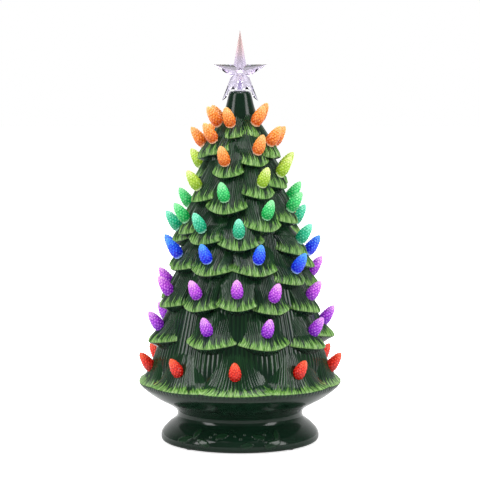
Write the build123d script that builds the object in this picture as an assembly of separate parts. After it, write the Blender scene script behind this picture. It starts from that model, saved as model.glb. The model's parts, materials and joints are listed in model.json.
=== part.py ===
from build123d import *
import math
import os

# Lighted ceramic christmas tree, battery operated, in millimetres.
# Origin: centre of the surface that the tree stands on. +Z up, the front of the tree faces -Y.
# An azimuth is measured round the trunk from the front, positive towards +X.

# ---- overall outline of the ceramic --------------------------------------------------------------
pad_thickness = 1.0            # rubber pads under the foot ring
foot_flat_radius = 68.5        # outer edge of the flat foot ring
foot_bulge_radius = 73.4       # widest place of the foot
foot_bulge_height = 5.5
foot_edge_inset = 1.4          # rounding between the flat ring and the bulge
foot_edge_rise = 1.3
foot_shoulder_inset = 1.8      # how far the foot has drawn in halfway up its shoulder
foot_shoulder_radius = 66.5    # where the foot turns in to the waist
foot_shoulder_height = 16.9
waist_radius = 58.2
waist_height = 26.5
skirt_root_radius = 66.9       # where the waist turns out under the skirt
skirt_root_height = 36.4
skirt_rim_radius = 93.0        # plain rim between the skirt's scallops
skirt_rim_height = 57.0
skirt_rim_round = 2.0
skirt_belly_out = 1.5          # swell of the skirt's underside
skirt_belly_drop = 1.2
trunk_foot_radius = 82.0       # trunk that carries the boughs, just above the skirt
trunk_foot_height = 74.0
trunk_top_radius = 23.0        # trunk just under the crown
trunk_top_height = 285.0
crown_shoulder_radius = 13.0
crown_shoulder_height = 312.0
crown_radius = 9.9
crown_edge_round = 2.4
crown_height = 326.0           # flat top of the crown

# ---- hollow inside of the ceramic ----------------------------------------------------------------
ceramic_wall = 5.3
skirt_hollow_height = 50.0     # inside step over the waist
inner_waist_step = 2.0         # the inner waist ends this far below the root of the skirt
crown_roof_thickness = 20.0    # solid ceramic over the hollow, for the star's socket
hollow_roof_height = crown_height - crown_roof_thickness
hollow_roof_radius = 7.0
rebate_radius = 60.0           # round rebate in the foot that takes the base cover
rebate_height = 7.0
ledge_radius = 55.0

# ---- boughs --------------------------------------------------------------------------------------
reach_at_floor = 118.3         # radius of the cone through the bough tips, carried down to the floor
reach_taper = 0.295            # loss of reach for each millimetre of height
bough_crown_rise = 6.0         # height of a bough's crown above its bulb seat
bough_crown_share = 0.6        # radius of the crown against the radius at the seat
bough_rim_round = 1.9
bough_seat_lift = 0.5          # the ceramic stands this much over the bulb's seat before it is cut
bough_underside_drop = 0.9     # how steeply the underside of a bough runs down to the trunk

# ---- bulbs ---------------------------------------------------------------------------------------
bulb_length = 22.5
bulb_radius = 5.65
bulb_flank_share = 0.8         # radius halfway from the belly to the tip, against the widest
bulb_foot_round = 0.5
bulb_foot_radius = 3.4
bulb_belly_height = 7.6        # height of the widest place above the bulb's foot
bulb_tip_radius = 0.9
bulb_tip_round = 0.6
bulb_tilt = 37.0               # outward lean from the vertical
peg_radius = 2.25
peg_length = 12.0
peg_clearance = 0.2
bulb_hole_depth = 20.0
bulb_seat_clearance = 0.55

# One ring of boughs for each colour: node name, half width of a bough, what its reach differs from
# the cone, droop, seat of the bulb inward and upward of the rim, azimuth and rim height of each bough.
RINGS = [
    ("red_bulbs", 27.0, -6.2, 6.0, 14.5, 10.5,
     [(-148, 57), (-115, 57), (-79, 57), (-42, 59), (-3, 59), (39, 58), (82, 56), (115, 57),
      (148, 57), (180, 57)]),
    ("purple_bulbs", 25.0, 0.0, 10.0, 14.0, 10.5,
     [(-120, 96), (-70, 97), (-22, 98), (18, 97), (57, 94), (98, 97), (140, 95), (-170, 96)]),
    ("violet_bulbs", 19.0, 0.5, 13.0, 11.5, 10.5,
     [(-112, 131), (-65, 130), (-33, 130), (-2, 132), (25, 128), (62, 126), (102, 143), (145, 132),
      (-155, 130)]),
    ("blue_bulbs", 22.0, 0.0, 14.0, 9.0, 11.0,
     [(-110, 162), (-64, 164), (-28, 162), (15, 162), (50, 152), (95, 163), (140, 164),
      (-160, 163)]),
    ("teal_bulbs", 22.0, 1.0, 18.0, 9.0, 11.0,
     [(-95, 186), (-38, 189), (-1, 185), (66, 177), (115, 190), (160, 189), (-148, 188)]),
    ("green_bulbs", 20.0, 1.0, 18.0, 9.0, 11.0,
     [(-115, 206), (-66, 196), (-17, 217), (27, 201), (64, 206), (112, 212), (165, 208),
      (-160, 214)]),
    ("lime_bulbs", 17.0, 0.5, 18.0, 8.5, 11.0,
     [(-118, 243), (-58, 226), (27, 230), (61, 238), (110, 240), (160, 236), (-165, 242)]),
    ("orange_bulbs", 15.0, 0.0, 18.0, 8.5, 11.0,
     [(-95, 264), (-49, 269), (-21, 249), (27, 259), (56, 266), (112, 264), (165, 262),
      (-140, 266)]),
    ("amber_bulbs", 12.5, -6.5, 15.0, 7.5, 10.5,
     [(-62, 284), (-23, 284), (41, 285), (130, 286), (180, 285), (-130, 284)]),
]

# ---- star and its peg ----------------------------------------------------------------------------
star_centre_rise = 17.5        # star's centre over the flat top of the crown
star_centre_height = crown_height + star_centre_rise
star_top_reach = 38.5
star_side_reach = 25.0
star_side_rise = 6.8
star_leg_reach = 16.8
star_leg_drop = 26.9
star_thickness = 15.0
star_shoulder_reach = 5.7      # inner corners beside the top arm
star_waist_reach = 8.3         # inner corners above the legs
star_waist_drop = 4.1
star_crotch_drop = 13.0
star_crown_gap = 0.8           # the legs clear the crown by this much
star_socket_wall = 1.3
star_socket_rise = 12.5        # height of the socket above its mouth
star_peg_radius = 3.5          # part of the peg in the crown
star_peg_fit = 0.06
star_peg_depth = 14.0
spigot_radius = 1.7            # part of the peg in the star
spigot_fit = 0.07
collar_radius = 5.2
collar_thickness = 1.6

# ---- base cover and battery compartment ----------------------------------------------------------
seal_thickness = 0.8
cover_thickness = 2.5
cover_gap = 0.4
battery_diameter = 14.5
battery_length = 50.5
battery_nub_radius = 2.75
battery_nub_length = 1.2
battery_spacing = 15.1
battery_count = 3
cell_room = 0.6                # free room round the cells
cell_rib_thickness = 0.8       # ribs in the tray between the cells
cell_rib_overlap = 0.2         # share of a cell's diameter that the ribs reach down beside it
spring_length = 5.0
spring_wire = 0.7
spring_root_radius = 4.6
spring_tip_radius = 2.6
contact_thickness = 0.4
contact_size = 10.0
box_wall = 1.6
ear_size = 8.0
screw_shank_radius = 1.1
screw_head_radius = 2.2
screw_head_height = 1.4
screw_hole_clearance = 0.1
screw_bite = 1.8
screw_slot_width = 0.6
screw_hole_room = 0.2          # the holes run this much deeper than the screws
door_thickness = 2.0
door_gap = 0.4
door_pivot_radius = 0.75
door_pivot_length = 2.0
door_pivot_fit = 0.08
door_lip_length = 1.9
door_lip_thickness = 0.8
door_lip_width = 14.0
door_grip_count = 5
door_grip_depth = 0.5
door_grip_width = 1.0
door_grip_spacing = 2.4
door_grip_inset = 6.0          # first grip groove from the free edge of the door
door_lip_root = 1.0            # part of the lip that lies in the door

# ---- switch and timer board ----------------------------------------------------------------------
switch_travel = 4.0            # off, on and timer, 2 mm apart
switch_offset = 46.0           # behind the middle of the base cover
switch_length = 13.0
switch_width = 6.4
switch_height = 5.2
switch_wall = 0.8
switch_ear_length = 4.4
switch_ear_thickness = 1.0
knob_length = 3.0
knob_width = 2.4
knob_gap = 0.3
knob_proud = 1.5               # how far the knob stands below the cover
slider_overlap = 0.8           # the slider under the knob is this much longer at each end
board_length = 36.0
board_width = 12.0
board_thickness = 1.2
board_offset = 35.5
board_post_radius = 2.4
board_post_height = 2.2
chip_size = 6.0
chip_height = 1.3
chip_offset = -8.0
board_post_inset = 3.0         # posts' centres from the ends of the board

# ---- light mast ----------------------------------------------------------------------------------
mast_width = 12.0
mast_wall = 1.4
mast_flange_width = 26.0
mast_flange_thickness = 2.0
mast_screw_inset = 3.0
mast_top_rise = 3.0            # the mast reaches this far up into the crown
mast_top_height = trunk_top_height + mast_top_rise
strip_width = 9.0
strip_thickness = 1.0
strip_foot_height = 44.0
led_size = 5.0
led_height = 1.6
led_rows = 9
led_top_margin = 8.0

# ---- leads ---------------------------------------------------------------------------------------
lead_radius = 0.6
lead_spacing = 3.4
lead_arch_height = 21.0
mast_lead_height = 36.0
battery_lead_place = 8.0       # first battery lead along the box, and how far below its top it leaves
battery_lead_drop = 5.0
battery_lead_pad = 1.0         # solder points on the board, from its middle line
switch_lead_pad = 3.5
mast_lead_pad = 3.0

# ---- pads ----------------------------------------------------------------------------------------
pad_radius = 3.6
pad_count = 4

# ---- heights that follow from the sizes ----------------------------------------------------------
cover_top = rebate_height - seal_thickness
cover_bottom = cover_top - cover_thickness
cover_radius = rebate_radius - cover_gap
tray_length = battery_length + spring_length + 2 * contact_thickness + cell_room
tray_width = (battery_count - 1) * battery_spacing + battery_diameter + 2 * cell_room
tray_height = battery_diameter + 2 * cell_room
tray_top = cover_top + tray_height + box_wall
cell_height = cover_top + cell_room + battery_diameter / 2
hinge_x = -tray_length / 2 + door_gap + cover_thickness / 2
hinge_height = cover_bottom + cover_thickness / 2
board_bottom = cover_top + board_post_height
board_top = board_bottom + board_thickness
switch_top = cover_top + switch_ear_thickness + switch_height
crown_socket_height = crown_height - star_peg_depth
collar_top = crown_height + collar_thickness


def around(azimuth):
    """Turn so that local +X points outwards at this azimuth."""
    return Rot(0, 0, azimuth - 90)


def spin(*edges):
    """Solid of revolution about Z from a closed outline in the XZ plane."""
    return revolve(Plane.XZ * make_face(list(edges)), Axis.Z)


def spin_points(*points):
    """Solid of revolution about Z from the corners of its outline."""
    return revolve(Plane.XZ * make_face(Polyline(*points, close=True)), Axis.Z)


def block(x_size, y_size, low, high, x=0.0, y=0.0):
    """Upright block between two heights."""
    return Pos(x, y, (low + high) / 2) * Box(x_size, y_size, high - low)


def rod(radius, low, high, x=0.0, y=0.0):
    """Upright round bar between two heights."""
    return Pos(x, y, (low + high) / 2) * Cylinder(radius, high - low)


def screw(x, y, seat, bite):
    """Pan-head screw whose head rests on a seat."""
    shank = rod(screw_shank_radius, seat - bite, seat, x, y)
    head = rod(screw_head_radius, seat, seat + screw_head_height, x, y)
    slot = block(2 * screw_head_radius + 1, screw_slot_width, seat + screw_head_height / 2,
                 seat + screw_head_height + 1, x, y)
    return shank + head - slot


def screw_hole(x, y, low, high):
    return rod(screw_shank_radius + screw_hole_clearance, low, high, x, y)


# ---- ceramic -------------------------------------------------------------------------------------
def rim_reach(height, difference):
    """Radius of a bough's tip whose rim is at this height."""
    return reach_at_floor - reach_taper * height + difference


def foot_and_trunk():
    """Foot, waist, plain skirt, trunk and crown, turned as one solid."""
    belly = ThreePointArc((foot_flat_radius, pad_thickness),
                          (foot_bulge_radius - foot_edge_inset, pad_thickness + foot_edge_rise),
                          (foot_bulge_radius, foot_bulge_height))
    shoulder_mid = (foot_bulge_height + foot_shoulder_height) / 2
    shoulder = ThreePointArc(belly @ 1, (foot_bulge_radius - foot_shoulder_inset, shoulder_mid),
                             (foot_shoulder_radius, foot_shoulder_height))
    waist = ThreePointArc(shoulder @ 1, (waist_radius, waist_height),
                          (skirt_root_radius, skirt_root_height))
    under_rim = skirt_rim_height - 2 * skirt_rim_round
    belly_radius = (skirt_rim_radius + skirt_root_radius) / 2 + skirt_belly_out
    belly_height = (skirt_root_height + under_rim) / 2 - skirt_belly_drop
    under = ThreePointArc(waist @ 1, (belly_radius, belly_height),
                          (skirt_rim_radius, under_rim))
    rim = ThreePointArc(under @ 1, (skirt_rim_radius + skirt_rim_round * 0.9, skirt_rim_height),
                        (skirt_rim_radius - 1, skirt_rim_height + skirt_rim_round))
    slope = Polyline(rim @ 1, (trunk_foot_radius, trunk_foot_height),
                     (trunk_top_radius, trunk_top_height),
                     (crown_shoulder_radius, crown_shoulder_height),
                     (crown_radius, crown_height - crown_edge_round))
    edge = ThreePointArc(slope @ 1,
                         (crown_radius - 0.3 * crown_edge_round, crown_height - 0.3 * crown_edge_round),
                         (crown_radius - crown_edge_round, crown_height))
    top = Line(edge @ 1, (0, crown_height))
    axis_line = Line(top @ 1, (0, pad_thickness))
    ring = Line(axis_line @ 1, belly @ 0)
    return spin(belly, shoulder, waist, under, rim, slope, edge, top, axis_line, ring)


def hollow():
    """Inside of the ceramic, from the rebate for the cover up into the crown."""
    inner_waist = waist_radius - ceramic_wall
    inner_skirt = trunk_foot_radius - ceramic_wall
    inner_top = trunk_top_radius - ceramic_wall
    return spin_points((0, 0), (rebate_radius, 0),
                       (rebate_radius, rebate_height), (ledge_radius, rebate_height),
                       (inner_waist, waist_height), (inner_waist, skirt_root_height - inner_waist_step),
                       (inner_skirt, skirt_hollow_height), (inner_skirt, trunk_foot_height),
                       (inner_top, trunk_top_height), (hollow_roof_radius, hollow_roof_height),
                       (0, hollow_roof_height))


def seat_in_bough(droop, inward, upward):
    """Place of the bulb's seat in the bough's own frame: in from the rim and up from it."""
    tilt = math.radians(droop)
    return (inward * math.cos(tilt) + upward * math.sin(tilt),
            upward * math.cos(tilt) - inward * math.sin(tilt))


def bough(half_width, droop, inward, upward):
    """One drooping bough: a bell on its own axis, with its rim at height 0."""
    setback, rise = seat_in_bough(droop, inward, upward)
    seat_radius = half_width - setback
    crown_at = rise + bough_crown_rise
    crown_width = bough_crown_share * seat_radius
    rim = ThreePointArc((half_width - bough_rim_round / 2, -bough_rim_round / 2),
                        (half_width, 0),
                        (half_width - bough_rim_round / 3, bough_rim_round))
    side = Polyline(rim @ 1, (seat_radius, rise + bough_seat_lift), (crown_width, crown_at), (0, crown_at),
                    (0, -bough_underside_drop * half_width), rim @ 0)
    return spin(rim, side)


def bough_place(ring, azimuth, rim_height):
    """Frame of a bough: its rim's outermost point is at its reach and rim height."""
    _, half_width, difference, droop, *_ = ring
    tilt = math.radians(droop)
    centre = rim_reach(rim_height, difference) - half_width * math.cos(tilt)
    height = rim_height + half_width * math.sin(tilt)
    return around(azimuth) * Pos(centre, 0, height) * Rot(0, droop, 0)


def bulb_places(ring):
    """Frames of the bulbs' seats in one ring, +Z along each bulb."""
    _, half_width, _, droop, inward, upward, boughs = ring
    setback, rise = seat_in_bough(droop, inward, upward)
    seat = Pos(half_width - setback, 0, rise) * Rot(0, bulb_tilt - droop, 0)
    return [bough_place(ring, azimuth, rim_height) * seat for azimuth, rim_height in boughs]


def ceramic_tree():
    bells = []
    cutters = []
    drill = (Pos(0, 0, -bulb_hole_depth / 2) * Cylinder(peg_radius + peg_clearance, bulb_hole_depth)
             + Pos(0, 0, bulb_length / 2) * Cylinder(bulb_radius + bulb_seat_clearance, bulb_length))
    for ring in RINGS:
        _, half_width, _, droop, inward, upward, boughs = ring
        bell = bough(half_width, droop, inward, upward)
        for azimuth, rim_height in boughs:
            bells.append(bough_place(ring, azimuth, rim_height) * bell)
        cutters += [place * drill for place in bulb_places(ring)]
    tree = foot_and_trunk() + bells
    socket = rod(star_peg_radius + star_peg_fit, hollow_roof_height - 1, crown_height + 1)
    return tree - [hollow(), socket] - cutters


# ---- bulbs ---------------------------------------------------------------------------------------
def bulb():
    """Pine-cone shaped bulb with its peg, standing on its seat at height 0."""
    belly = ThreePointArc((bulb_foot_radius, 0),
                          (bulb_radius - bulb_foot_round, bulb_belly_height * 0.45),
                          (bulb_radius, bulb_belly_height))
    flame = ThreePointArc(belly @ 1,
                          (bulb_radius * bulb_flank_share, (bulb_belly_height + bulb_length) / 2),
                          (bulb_tip_radius, bulb_length - bulb_tip_round))
    rest = Polyline(flame @ 1, (0, bulb_length), (0, -peg_length), (peg_radius, -peg_length),
                    (peg_radius, 0), belly @ 0)
    return spin(belly, flame, rest)


# ---- star ----------------------------------------------------------------------------------------
def star_body():
    """Faceted star: each edge of the outline runs to the middle of the front and of the back."""
    half = [(0, star_top_reach), (star_shoulder_reach, star_side_rise),
            (star_side_reach, star_side_rise), (star_waist_reach, -star_waist_drop),
            (star_leg_reach, -star_leg_drop), (0, -star_crotch_drop)]
    outline = half + [(-x, z) for x, z in reversed(half[1:-1])]
    faces = []
    for index, start in enumerate(outline):
        end = outline[(index + 1) % len(outline)]
        for depth in (-star_thickness / 2, star_thickness / 2):
            corners = [(start[0], 0, start[1]), (end[0], 0, end[1]), (0, depth, 0)]
            faces.append(Face(Wire.make_polygon(corners)))
    return Pos(0, 0, star_centre_height) * Solid(Shell(faces))


def crown_clearance():
    """Room that the star leaves round the crown and the collar as it turns."""
    gap = star_crown_gap
    low = star_centre_height - star_leg_drop - 1
    slope = (crown_shoulder_radius - crown_radius) / (crown_height - crown_edge_round
                                                      - crown_shoulder_height)
    low_radius = crown_radius + gap + slope * (crown_height - low)
    return spin_points((0, low), (low_radius, low), (crown_radius + gap, crown_height - gap),
                       (crown_radius - crown_edge_round + gap, collar_top),
                       (0, collar_top))


def star_topper():
    socket_top = collar_top + star_socket_rise
    boss = rod(spigot_radius + spigot_fit + star_socket_wall, collar_top, socket_top + star_socket_wall)
    bore = rod(spigot_radius + spigot_fit, collar_top - 1, socket_top)
    return star_body() + boss - [crown_clearance(), bore]


def star_peg():
    shank = rod(star_peg_radius, crown_socket_height, crown_height)
    collar = rod(collar_radius, crown_height, collar_top)
    spigot = rod(spigot_radius, collar_top, collar_top + star_socket_rise - spigot_fit)
    return shank + collar + spigot


# ---- base ----------------------------------------------------------------------------------------
def ear_places():
    """Screw places on the four ears of the battery box."""
    x = tray_length / 2 - ear_size
    y = tray_width / 2 + box_wall + ear_size / 2
    return [(sx * x, sy * y) for sx in (-1, 1) for sy in (-1, 1)]


def switch_screw_places():
    x = (switch_length + switch_ear_length) / 2
    return [(-x, switch_offset), (x, switch_offset)]


def board_post_places():
    x = board_length / 2 - board_post_inset
    return [(-x, board_offset), (x, board_offset)]


def base_cover():
    plate = rod(cover_radius, cover_bottom, cover_top)
    opening = block(tray_length, tray_width, cover_bottom - 1, cover_top + 1)
    pivots = Pos(hinge_x, 0, hinge_height) * Rot(90, 0, 0) * Cylinder(
        door_pivot_radius + door_pivot_fit, tray_width + 2 * door_pivot_length)
    lip_end = tray_length / 2 + door_lip_length + door_gap
    lip_room = block(door_lip_length + 2 * door_gap, door_lip_width + 2 * door_gap, cover_bottom - 1,
                     cover_bottom + door_lip_thickness + door_gap,
                     lip_end - door_lip_length / 2 - door_gap)
    slot = block(switch_travel + knob_length + 2 * knob_gap, knob_width + 2 * knob_gap,
                 cover_bottom - 1, cover_top + 1, 0, switch_offset)
    posts = [rod(board_post_radius, cover_top, board_bottom, x, y) for x, y in board_post_places()]
    holes = [screw_hole(x, y, cover_top - screw_bite - screw_hole_room, cover_top + 1)
             for x, y in ear_places() + switch_screw_places()]
    holes += [screw_hole(x, y, board_bottom - screw_bite - screw_hole_room, board_bottom + 1)
              for x, y in board_post_places()]
    return plate + posts - [opening, pivots, lip_room, slot] - holes


def base_seal():
    return rod(cover_radius, cover_top, rebate_height) - rod(ledge_radius, cover_top - 1, rebate_height + 1)


def battery_box():
    outer = block(tray_length + 2 * box_wall, tray_width + 2 * box_wall, cover_top, tray_top)
    inner = block(tray_length, tray_width, cover_top - 1, tray_top - box_wall)
    ears = [block(ear_size, ear_size, cover_top, cover_top + box_wall, x, y) for x, y in ear_places()]
    holes = [screw_hole(x, y, cover_top - 1, cover_top + box_wall + 1) for x, y in ear_places()]
    holes += [screw_hole(x, y, tray_top - box_wall - 1, tray_top + 1) for x, y in mast_screw_places()]
    rib_foot = cell_height + battery_diameter * (0.5 - cell_rib_overlap)
    ribs = [block(tray_length - 2 * spring_length, cell_rib_thickness, rib_foot, tray_top, 0,
                  side * battery_spacing / 2) for side in (-1, 1)]
    return outer - inner + ears + ribs - holes


def battery_door():
    length = tray_length - 2 * door_gap
    width = tray_width - 2 * door_gap
    barrel_radius = cover_thickness / 2
    plate = block(length - barrel_radius, width, cover_bottom, cover_bottom + door_thickness,
                  barrel_radius / 2)
    barrel = Pos(hinge_x, 0, hinge_height) * Rot(90, 0, 0) * Cylinder(barrel_radius, width)
    pivots = Pos(hinge_x, 0, hinge_height) * Rot(90, 0, 0) * Cylinder(
        door_pivot_radius, width + 2 * door_pivot_length)
    lip = block(door_lip_length + door_lip_root, door_lip_width, cover_bottom,
                cover_bottom + door_lip_thickness, (length + door_lip_length - door_lip_root) / 2)
    grips = [block(door_grip_width, door_lip_width, cover_bottom - 1, cover_bottom + door_grip_depth,
                   length / 2 - door_grip_inset - index * door_grip_spacing)
             for index in range(door_grip_count)]
    return plate + barrel + pivots + lip - grips


def cell_rows():
    """Side offset of each cell and the way its nub points."""
    middle = (battery_count - 1) / 2
    return [((index - middle) * battery_spacing, 1 if index % 2 == 0 else -1)
            for index in range(battery_count)]


def batteries():
    body_length = battery_length - battery_nub_length
    cell = Cylinder(battery_diameter / 2, body_length)
    nub = Pos(0, 0, battery_length / 2) * Cylinder(battery_nub_radius, battery_nub_length)
    cell = cell + nub
    nub_end = tray_length / 2 - contact_thickness
    cells = []
    for offset, way in cell_rows():
        centre = way * (nub_end - battery_nub_length - body_length / 2)
        cells.append(Pos(centre, offset, cell_height) * Rot(0, 90 * way, 0) * cell)
    return cells


def contact_plates():
    plates = []
    for offset, _ in cell_rows():
        for end in (-1, 1):
            x = end * (tray_length / 2 - contact_thickness / 2)
            plates.append(block(contact_thickness, contact_size, cell_height - contact_size / 2,
                                cell_height + contact_size / 2, x, offset))
    return plates


def contact_springs():
    """Conical springs between the flat end of each cell and its contact plate."""
    length = spring_length + cell_room
    outside = Cone(spring_root_radius, spring_tip_radius, length)
    inside = Cone(spring_root_radius - spring_wire, spring_tip_radius - spring_wire, length)
    spring = outside - inside
    springs = []
    for offset, way in cell_rows():
        middle = -way * (tray_length / 2 - contact_thickness - length / 2)
        springs.append(Pos(middle, offset, cell_height) * Rot(0, 90 * way, 0) * spring)
    return springs


def switch_body():
    low = cover_top + switch_ear_thickness
    case = block(switch_length, switch_width, cover_top, switch_top, 0, switch_offset)
    room = block(switch_length - 2 * switch_wall, switch_width - 2 * switch_wall, cover_top - 1,
                 switch_top - switch_wall, 0, switch_offset)
    ears = block(switch_length + 2 * switch_ear_length, switch_width, cover_top, low, 0, switch_offset)
    holes = [screw_hole(x, y, cover_top - 1, low + 1) for x, y in switch_screw_places()]
    return ears + case - room - holes


def switch_knob():
    """Knob at on, one end of its travel, with the slider that rides in the switch."""
    x = -switch_travel / 2
    stem = block(knob_length, knob_width, cover_bottom - knob_proud, cover_top + knob_gap, x,
                 switch_offset)
    slider = block(knob_length + 2 * slider_overlap, switch_width - 2 * switch_wall - 2 * knob_gap,
                   cover_top + knob_gap, switch_top - switch_wall - knob_gap, x, switch_offset)
    return stem + slider


def timer_board():
    plate = block(board_length, board_width, board_bottom, board_top, 0, board_offset)
    chip = block(chip_size, chip_size, board_top, board_top + chip_height, chip_offset, board_offset)
    holes = [screw_hole(x, y, board_bottom - 1, board_top + 1) for x, y in board_post_places()]
    return plate + chip - holes


# ---- light mast ----------------------------------------------------------------------------------
def mast_screw_places():
    x = mast_flange_width / 2 - mast_screw_inset
    return [(-x, 0), (x, 0)]


def light_mast():
    foot = tray_top + mast_flange_thickness
    flange = block(mast_flange_width, mast_width, tray_top, foot)
    tube = block(mast_width, mast_width, tray_top, mast_top_height)
    bore = block(mast_width - 2 * mast_wall, mast_width - 2 * mast_wall, tray_top - 1,
                 mast_top_height - mast_wall)
    holes = [screw_hole(x, y, tray_top - 1, foot + 1) for x, y in mast_screw_places()]
    return flange + tube - bore - holes


def light_boards():
    x = (mast_width + strip_thickness) / 2
    strip = block(strip_thickness, strip_width, strip_foot_height, mast_top_height - mast_wall, x)
    return [Rot(0, 0, 90 * side) * strip for side in range(4)]


def leds():
    x = mast_width / 2 + strip_thickness + led_height / 2
    first = strip_foot_height + led_top_margin
    last = mast_top_height - led_top_margin
    lamps = []
    for row in range(led_rows):
        z = first + (last - first) * row / (led_rows - 1)
        lamp = Pos(x, 0, z) * Box(led_height, led_size, led_size)
        lamps += [Rot(0, 0, 90 * side) * lamp for side in range(4)]
    lamps.append(block(led_size, led_size, mast_top_height, mast_top_height + led_height))
    return lamps


# ---- leads ---------------------------------------------------------------------------------------
def lead(*route):
    """Round lead along straight runs with arcs as large as the runs allow."""
    points = [Vector(*point) for point in route]
    radii = []
    for before, corner, after in zip(points, points[1:], points[2:]):
        shorter = min((corner - before).length, (after - corner).length)
        turn = (corner - before).get_angle(after - corner)
        radii.append(0.45 * shorter / math.tan(math.radians(turn) / 2))
    path = FilletPolyline(*points, radius=radii)
    section = Plane(origin=path @ 0, z_dir=path % 0) * Circle(lead_radius)
    return sweep(section, path)


def battery_leads():
    wall = tray_width / 2 + box_wall
    end = board_offset + battery_lead_pad
    height = tray_top - battery_lead_drop
    return [lead((x, wall, height), (x, end, height), (x, end, board_top))
            for x in (battery_lead_place, battery_lead_place + lead_spacing)]


def switch_leads():
    start = board_offset + switch_lead_pad
    return [lead((x, start, board_top), (x, start, lead_arch_height), (x, switch_offset, lead_arch_height),
                 (x, switch_offset, switch_top)) for x in (0, lead_spacing)]


def mast_leads():
    start = board_offset - mast_lead_pad
    end = mast_width / 2
    return [lead((x, start, board_top), (x, start, mast_lead_height), (x, end, mast_lead_height))
            for x in (-lead_spacing / 2, lead_spacing / 2)]


# ---- pads ----------------------------------------------------------------------------------------
def rubber_feet():
    ring = (rebate_radius + foot_flat_radius) / 2
    pad = rod(pad_radius, 0, pad_thickness, ring)
    return [around(360 / pad_count * (index + 0.5)) * pad for index in range(pad_count)]


def write(name, shape):
    """Write one sub-part, a single solid or a group of separate solids."""
    if isinstance(shape, list):
        shape = Compound(children=list(shape))
    export_step(shape, f"parts/{name}.step")


os.makedirs("parts", exist_ok=True)
write("ceramic_tree", ceramic_tree())
for each_ring in RINGS:
    write(each_ring[0], [place * bulb() for place in bulb_places(each_ring)])
write("star_topper", star_topper())
write("star_peg", star_peg())
write("base_cover", base_cover())
write("base_seal", base_seal())
write("battery_box", battery_box())
write("battery_door", battery_door())
write("batteries", batteries())
write("contact_plates", contact_plates())
write("contact_springs", contact_springs())
write("box_screws", [screw(x, y, cover_top + box_wall, box_wall + screw_bite) for x, y in ear_places()])
write("switch_body", switch_body())
write("switch_knob", switch_knob())
write("switch_screws", [screw(x, y, cover_top + switch_ear_thickness, switch_ear_thickness + screw_bite)
                        for x, y in switch_screw_places()])
write("timer_board", timer_board())
write("board_screws", [screw(x, y, board_top, board_thickness + screw_bite)
                       for x, y in board_post_places()])
write("light_mast", light_mast())
write("mast_screws", [screw(x, y, tray_top + mast_flange_thickness, mast_flange_thickness + box_wall)
                      for x, y in mast_screw_places()])
write("light_boards", light_boards())
write("leds", leds())
write("battery_leads", battery_leads())
write("switch_leads", switch_leads())
write("mast_leads", mast_leads())
write("rubber_feet", rubber_feet())
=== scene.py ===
import json
import math

import bmesh
import bpy
from mathutils import Matrix, Vector, noise


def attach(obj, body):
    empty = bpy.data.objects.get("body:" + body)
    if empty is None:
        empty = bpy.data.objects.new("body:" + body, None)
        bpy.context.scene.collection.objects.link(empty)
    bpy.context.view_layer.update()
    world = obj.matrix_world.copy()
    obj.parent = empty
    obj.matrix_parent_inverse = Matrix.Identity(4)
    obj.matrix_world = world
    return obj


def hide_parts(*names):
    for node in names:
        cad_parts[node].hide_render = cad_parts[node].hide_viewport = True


# Lighted ceramic christmas tree. Metres; the tree stands on z = 0 and its front faces -Y.
# An azimuth is measured round the trunk from the front, positive towards +X.

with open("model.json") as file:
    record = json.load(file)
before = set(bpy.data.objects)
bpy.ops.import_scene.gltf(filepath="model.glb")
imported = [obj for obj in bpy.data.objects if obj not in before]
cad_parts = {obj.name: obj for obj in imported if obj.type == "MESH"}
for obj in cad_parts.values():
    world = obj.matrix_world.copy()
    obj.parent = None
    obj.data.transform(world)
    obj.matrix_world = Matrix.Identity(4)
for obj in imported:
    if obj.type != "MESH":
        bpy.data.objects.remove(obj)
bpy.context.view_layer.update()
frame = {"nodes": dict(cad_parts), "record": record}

MM = 0.001

# ---- driving sizes, in millimetres ---------------------------------------------------------------
reach_at_floor = 118.3        # radius of the cone through the bough tips, carried down to the floor
reach_taper = 0.295
trunk_foot_radius, trunk_foot_height = 82.0, 74.0
trunk_top_radius, trunk_top_height = 23.0, 285.0
crown_shoulder_radius, crown_shoulder_height = 13.0, 312.0
crown_height = 326.0
trunk_inset = 0.8             # plain trunk against the radius that the boughs stand on
socket_radius = 3.56          # for the star's peg
hollow_roof_radius, hollow_roof_height = 7.0, 306.0
hollow_top_radius = 17.7
hollow_skirt_radius, hollow_skirt_height = 76.7, 50.0
hollow_waist_radius = 52.9
rebate_radius, rebate_depth = 60.0, 7.0   # for the plate under the foot
bulb_length = 22.5
bulb_radius = 5.65
bulb_foot_radius = 3.4
bulb_belly_height = 7.6
bulb_tilt = 37.0
bulb_bump_rows = 9
bulb_bumps_round = 10
bulb_bump_height = 0.8
bulb_skin_inset = 0.55        # the bumps stand on a skin this far inside the bulb's outline
peg_radius, peg_length = 2.25, 12.0
bough_steps = 200             # round one bough
needles_per_millimetre = 2.3  # round one bough, for each millimetre of its half width
needle_depth = 1.3
needle_bend = 0.22
rim_waviness = 0.9
bough_fan = 1.1               # a bough grows this much wider than deep on its way up
bough_overlap, longest_bough = 8.0, 46.0  # over the rims above, and the tallest that a bough gets
gap_over_top_ring = 26.0
rim_squareness = 0.05
skirt_rim_radius, skirt_rim_height = 94.3, 57.0
skirt_face_length = 55.0      # from the rim up to where the needles have thinned out
skirt_steps, skirt_needles, skirt_needle_depth = 720, 150, 1.2
skirt_fan = 1.3               # how strongly the skirt's needles close in on the bulbs
trunk_steps, trunk_needles, trunk_needle_depth = 512, 96, 1.0
relief_rows, relief_columns = 60, 260
relief_sink = 0.45            # the sheet of the relief lies this deep where it is bare
relief_scale = 0.8
glaze_radius = 0.05           # metres; makes an angle a length for the glaze of trunk and foot

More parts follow.
